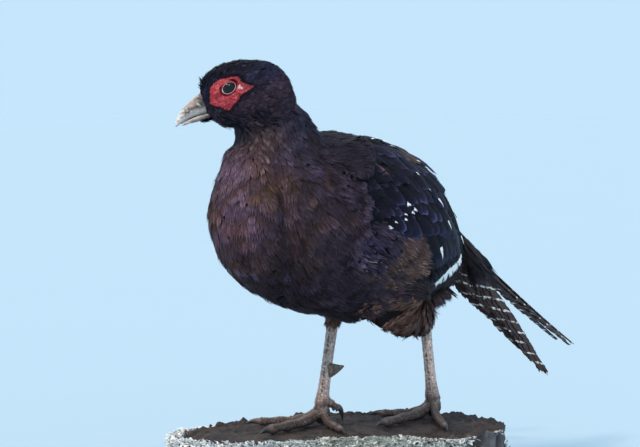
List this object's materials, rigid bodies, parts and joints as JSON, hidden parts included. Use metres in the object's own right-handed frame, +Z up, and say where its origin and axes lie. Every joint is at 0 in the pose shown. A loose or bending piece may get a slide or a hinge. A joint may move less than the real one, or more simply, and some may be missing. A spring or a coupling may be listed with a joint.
{
  "type": "taxidermy pheasant",
  "caption": "Mounted dark pheasant cock with red face, white-edged wings and barred tail, standing on a lichen-covered log slab.",
  "frame": {"origin": "middle of the log slab's flat underside", "axes": "-Y is the way the trunk heads, +X is the bird's left, +Z is up"},
  "size_m": [0.1808, 0.4521, 0.3675],
  "materials": {
    "body_feathers": "soft matt feathers with a faint purple and blue gloss",
    "thigh_feathers": "bristly dull brown feathers",
    "wing_feathers": "satin feathers with a blue rim",
    "tail_feathers": "satin black-brown feathers with white bars",
    "face_skin": "warty red painted skin",
    "bill_horn": "worn pale horn",
    "claw_horn": "dark worn horn",
    "leg_scales": "dry scaled skin",
    "glass_eye": "polished dark glass",
    "log_wood": "rough old wood with pale lichen"
  },
  "bodies": {
    "root": {"bill_lower": "bill_horn", "bill_upper": "bill_horn", "claw_left_1": "claw_horn", "claw_left_2": "claw_horn", "claw_left_3": "claw_horn", "claw_left_4": "claw_horn", "claw_right_1": "claw_horn", "claw_right_2": "claw_horn", "claw_right_3": "claw_horn", "claw_right_4": "claw_horn", "eye_left": "glass_eye", "eye_right": "glass_eye", "face_left": "face_skin", "face_right": "face_skin", "head": "body_feathers", "neck": "body_feathers", "shank_left": "leg_scales", "shank_right": "leg_scales", "slab": "log_wood", "spur_left": "claw_horn", "spur_right": "claw_horn", "tail_coverts": "tail_feathers", "tail_feather_left_1": "tail_feathers", "tail_feather_left_2": "tail_feathers", "tail_feather_left_3": "tail_feathers", "tail_feather_left_4": "tail_feathers", "tail_feather_left_5": "tail_feathers", "tail_feather_left_6": "tail_feathers", "tail_feather_left_7": "tail_feathers", "tail_feather_left_8": "tail_feathers", "tail_feather_right_1": "tail_feathers", "tail_feather_right_2": "tail_feathers", "tail_feather_right_3": "tail_feathers", "tail_feather_right_4": "tail_feathers", "tail_feather_right_5": "tail_feathers", "tail_feather_right_6": "tail_feathers", "tail_feather_right_7": "tail_feathers", "tail_feather_right_8": "tail_feathers", "thigh_left": "thigh_feathers", "thigh_right": "thigh_feathers", "toe_left_1": "leg_scales", "toe_left_2": "leg_scales", "toe_left_3": "leg_scales", "toe_left_4": "leg_scales", "toe_right_1": "leg_scales", "toe_right_2": "leg_scales", "toe_right_3": "leg_scales", "toe_right_4": "leg_scales", "trunk": "body_feathers", "wing_left": "wing_feathers", "wing_right": "wing_feathers"}
  },
  "joints": []
}
